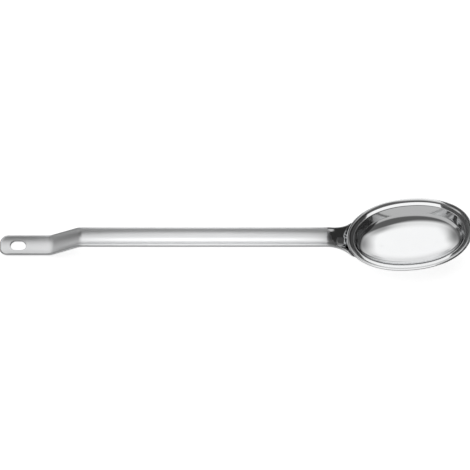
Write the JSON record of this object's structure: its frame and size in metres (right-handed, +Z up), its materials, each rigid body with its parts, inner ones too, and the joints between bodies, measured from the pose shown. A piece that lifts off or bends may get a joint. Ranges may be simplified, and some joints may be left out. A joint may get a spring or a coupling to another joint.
{
  "type": "portion spoon",
  "caption": "Long steel portion spoon: an oval bowl with a stepped rim on a channel handle that drops to a slotted hang tab, for serving measured helpings.",
  "frame": {"origin": "on the table under the middle of the spoon's length, in its mirror plane", "axes": "+X along the handle toward the bowl's tip, +Z up out of the bowl, +Y to the left when looking toward the tip"},
  "size_m": [0.4001, 0.0702, 0.0298],
  "materials": {
    "polished_steel": "mirror-polished stainless steel",
    "satin_steel": "satin stainless steel, polished at the neck",
    "weld_steel": "bare weld bead, lightly brushed"
  },
  "bodies": {
    "root": {"bowl": "polished_steel", "handle": "satin_steel", "weld_left": "weld_steel", "weld_middle": "weld_steel", "weld_right": "weld_steel"}
  },
  "joints": []
}
